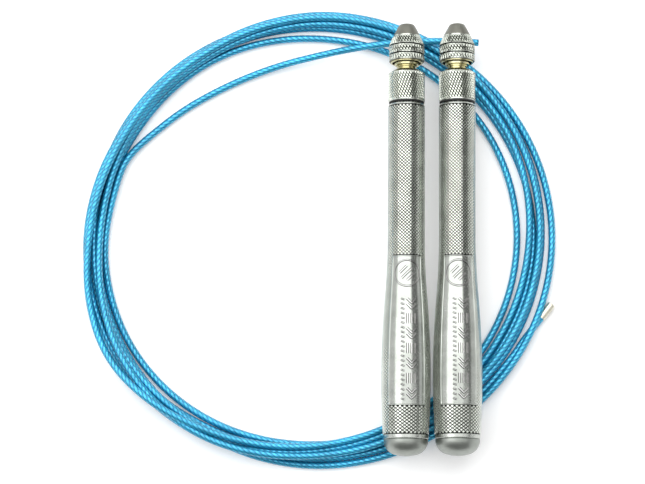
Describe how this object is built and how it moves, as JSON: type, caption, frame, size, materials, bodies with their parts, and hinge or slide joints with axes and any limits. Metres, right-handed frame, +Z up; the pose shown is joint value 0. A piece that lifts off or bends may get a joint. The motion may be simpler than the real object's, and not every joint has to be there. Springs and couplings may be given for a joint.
{
  "type": "speed jump rope",
  "caption": "Speed jump rope: two knurled metal handles with ball-bearing heads and screw-down cable clamps, lying on their coiled, coated steel cable.",
  "frame": {"origin": "middle of the cable's coil, on the surface that the rope lies on", "axes": "+Z up, +Y along the handles towards their heads, +X to the right across the handles"},
  "size_m": [0.1801, 0.18, 0.0239],
  "materials": {
    "knurled_aluminium": "satin, diamond knurled",
    "smooth_aluminium": "satin, turned smooth",
    "steel": "ground bearing steel",
    "brass": "machined, pale",
    "cage_brass": "stamped",
    "black_seal": "matt black",
    "blue_cable": "clear blue coating over twisted steel wire",
    "ferrule": "crimped, pale satin"
  },
  "bodies": {
    "cable": {"cable_coil": "blue_cable", "cable_tail": "blue_cable", "cable_ferrule": "ferrule"},
    "left_grip": {"left_grip_shell": "knurled_aluminium", "left_end_cap": "smooth_aluminium", "left_retaining_ring": "steel", "left_front_outer_race": "steel", "left_rear_outer_race": "steel"},
    "left_spindle": {"left_spindle": "steel", "left_collar": "knurled_aluminium", "left_collar_seal": "black_seal", "left_brass_stem": "brass", "left_front_inner_race": "steel", "left_rear_inner_race": "steel", "left_bearing_spacer": "steel", "left_nut_washer": "steel", "left_lock_nut": "steel"},
    "left_front_cage": {"left_front_cage": "cage_brass", "left_front_balls": "steel"},
    "left_rear_cage": {"left_rear_cage": "cage_brass", "left_rear_balls": "steel"},
    "left_collet": {"left_collet": "brass"},
    "left_cap": {"left_nose_cap": "knurled_aluminium", "left_cap_bush": "brass"},
    "right_grip": {"right_grip_shell": "knurled_aluminium", "right_end_cap": "smooth_aluminium", "right_retaining_ring": "steel", "right_front_outer_race": "steel", "right_rear_outer_race": "steel"},
    "right_spindle": {"right_spindle": "steel", "right_collar": "knurled_aluminium", "right_collar_seal": "black_seal", "right_brass_stem": "brass", "right_front_inner_race": "steel", "right_rear_inner_race": "steel", "right_bearing_spacer": "steel", "right_nut_washer": "steel", "right_lock_nut": "steel"},
    "right_front_cage": {"right_front_cage": "cage_brass", "right_front_balls": "steel"},
    "right_rear_cage": {"right_rear_cage": "cage_brass", "right_rear_balls": "steel"},
    "right_collet": {"right_collet": "brass"},
    "right_cap": {"right_nose_cap": "knurled_aluminium", "right_cap_bush": "brass"}
  },
  "joints": [
    {"name": "left_lift", "type": "slide", "parent": "cable", "child": "left_grip", "axis": [0, 0, 1], "range_m": [0, 0.15]},
    {"name": "left_spin", "type": "hinge", "parent": "left_grip", "child": "left_spindle", "pos_m": [0.0334, 0.0469, 0.0148], "axis": [0, 1, 0], "continuous": true},
    {"name": "left_front_cage_spin", "type": "hinge", "parent": "left_grip", "child": "left_front_cage", "pos_m": [0.0334, 0.0469, 0.0148], "axis": [0, 1, 0], "continuous": true},
    {"name": "left_rear_cage_spin", "type": "hinge", "parent": "left_grip", "child": "left_rear_cage", "pos_m": [0.0334, 0.0254, 0.0148], "axis": [0, 1, 0], "continuous": true},
    {"name": "left_collet_travel", "type": "slide", "parent": "left_spindle", "child": "left_collet", "axis": [0, 1, 0], "range_m": [-0.00181, 0.00321]},
    {"name": "left_cap_turn", "type": "hinge", "parent": "left_collet", "child": "left_cap", "pos_m": [0.0334, 0.0744, 0.0148], "axis": [0, 1, 0], "range_deg": [-810, 1440]},
    {"name": "right_lift", "type": "slide", "parent": "cable", "child": "right_grip", "axis": [0, 0, 1], "range_m": [0, 0.15]},
    {"name": "right_spin", "type": "hinge", "parent": "right_grip", "child": "right_spindle", "pos_m": [0.0527, 0.0472, 0.0148], "axis": [0, 1, 0], "continuous": true},
    {"name": "right_front_cage_spin", "type": "hinge", "parent": "right_grip", "child": "right_front_cage", "pos_m": [0.0527, 0.0472, 0.0148], "axis": [0, 1, 0], "continuous": true},
    {"name": "right_rear_cage_spin", "type": "hinge", "parent": "right_grip", "child": "right_rear_cage", "pos_m": [0.0527, 0.0257, 0.0148], "axis": [0, 1, 0], "continuous": true},
    {"name": "right_collet_travel", "type": "slide", "parent": "right_spindle", "child": "right_collet", "axis": [0, 1, 0], "range_m": [-0.00181, 0.00321]},
    {"name": "right_cap_turn", "type": "hinge", "parent": "right_collet", "child": "right_cap", "pos_m": [0.0527, 0.0747, 0.0148], "axis": [0, 1, 0], "range_deg": [-810, 1440]}
  ],
  "couplings": [
    {"joint": "left_front_cage_spin", "follows": "left_spin", "ratio": 0.4054},
    {"joint": "left_rear_cage_spin", "follows": "left_spin", "ratio": 0.4054},
    {"joint": "left_collet_travel", "follows": "left_cap_turn", "m_per_rad": 0.00012732},
    {"joint": "right_front_cage_spin", "follows": "right_spin", "ratio": 0.4054},
    {"joint": "right_rear_cage_spin", "follows": "right_spin", "ratio": 0.4054},
    {"joint": "right_collet_travel", "follows": "right_cap_turn", "m_per_rad": 0.00012732}
  ]
}
